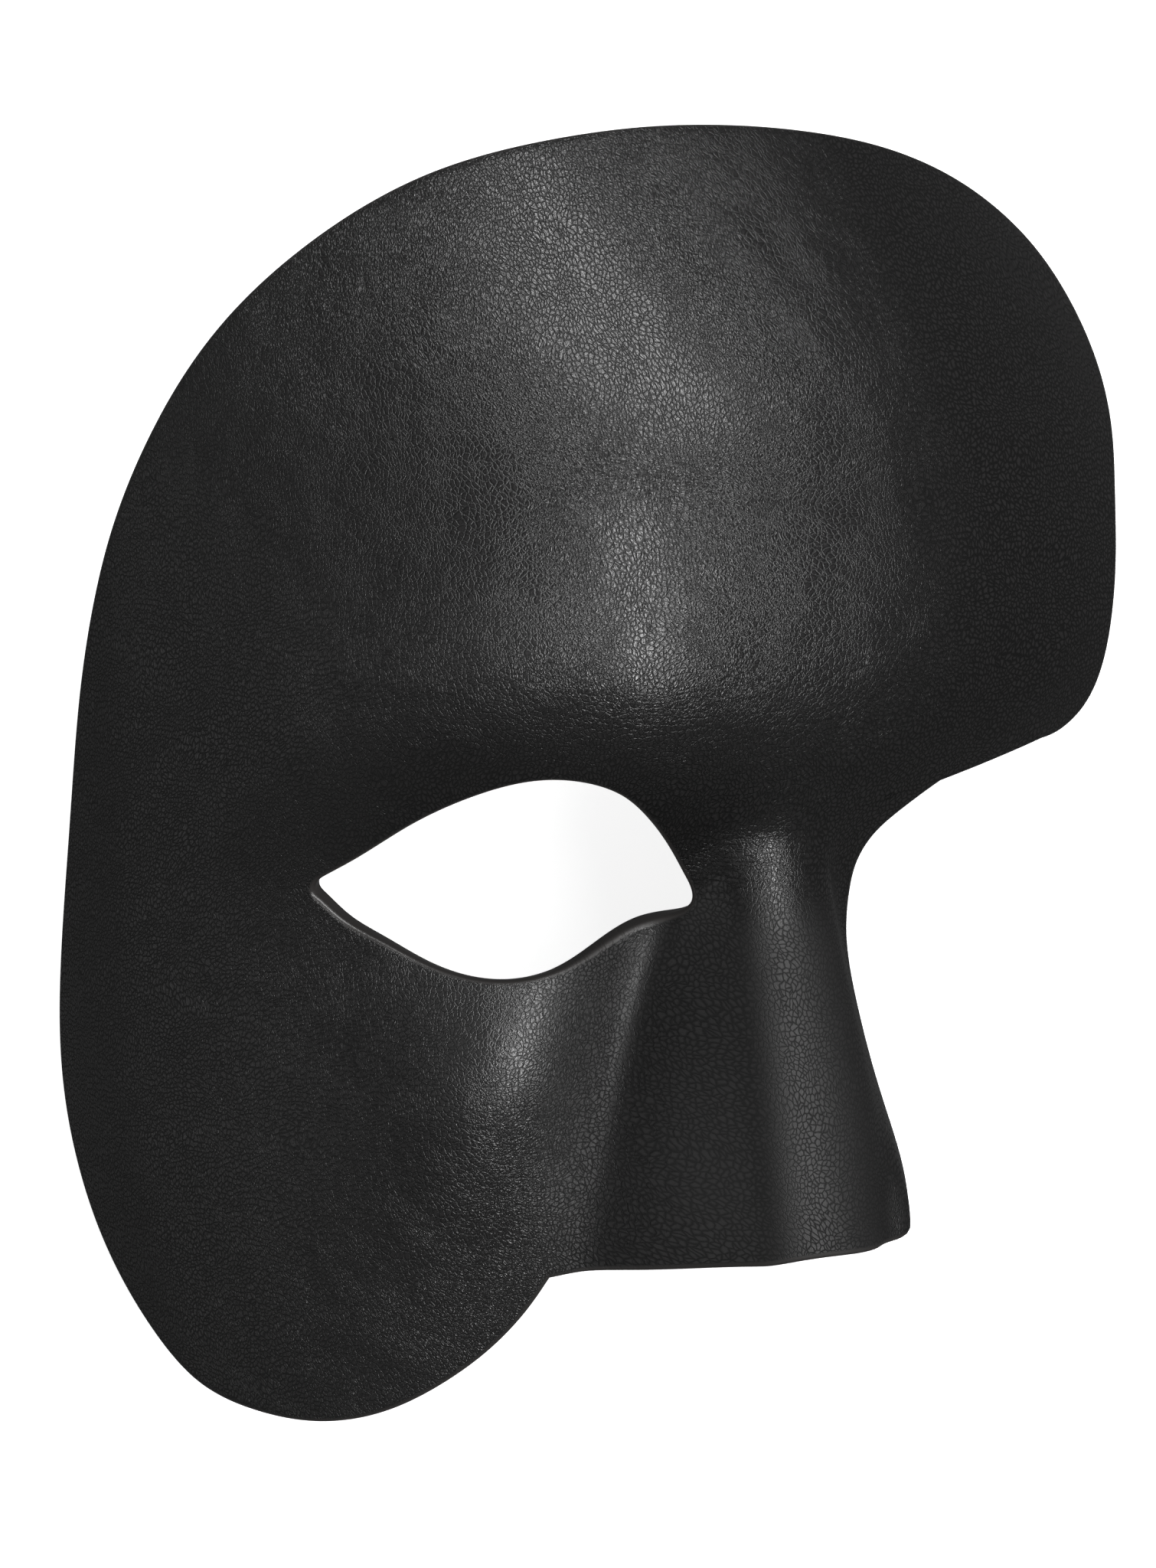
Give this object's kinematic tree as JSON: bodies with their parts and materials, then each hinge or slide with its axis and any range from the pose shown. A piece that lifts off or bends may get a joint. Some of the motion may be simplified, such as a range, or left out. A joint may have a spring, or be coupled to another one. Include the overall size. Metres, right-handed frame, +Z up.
{
  "type": "half face mask",
  "caption": "Moulded leather half mask with full forehead, one almond eye opening, nose and one cheek lobe, lying face up on its back rim.",
  "frame": {"origin": "centre of the bounding box's base, on the surface that the mask lies on", "axes": "+Z up, away from the surface; +Y towards the forehead, along the mask's longest side; +X towards the wearer's left, the cut-away side"},
  "size_m": [0.1628, 0.2064, 0.0826],
  "materials": {
    "black_leather": "waxed black leather with a fine pebble grain, satin sheen"
  },
  "bodies": {
    "root": {"leather_mask": "black_leather"}
  },
  "joints": []
}
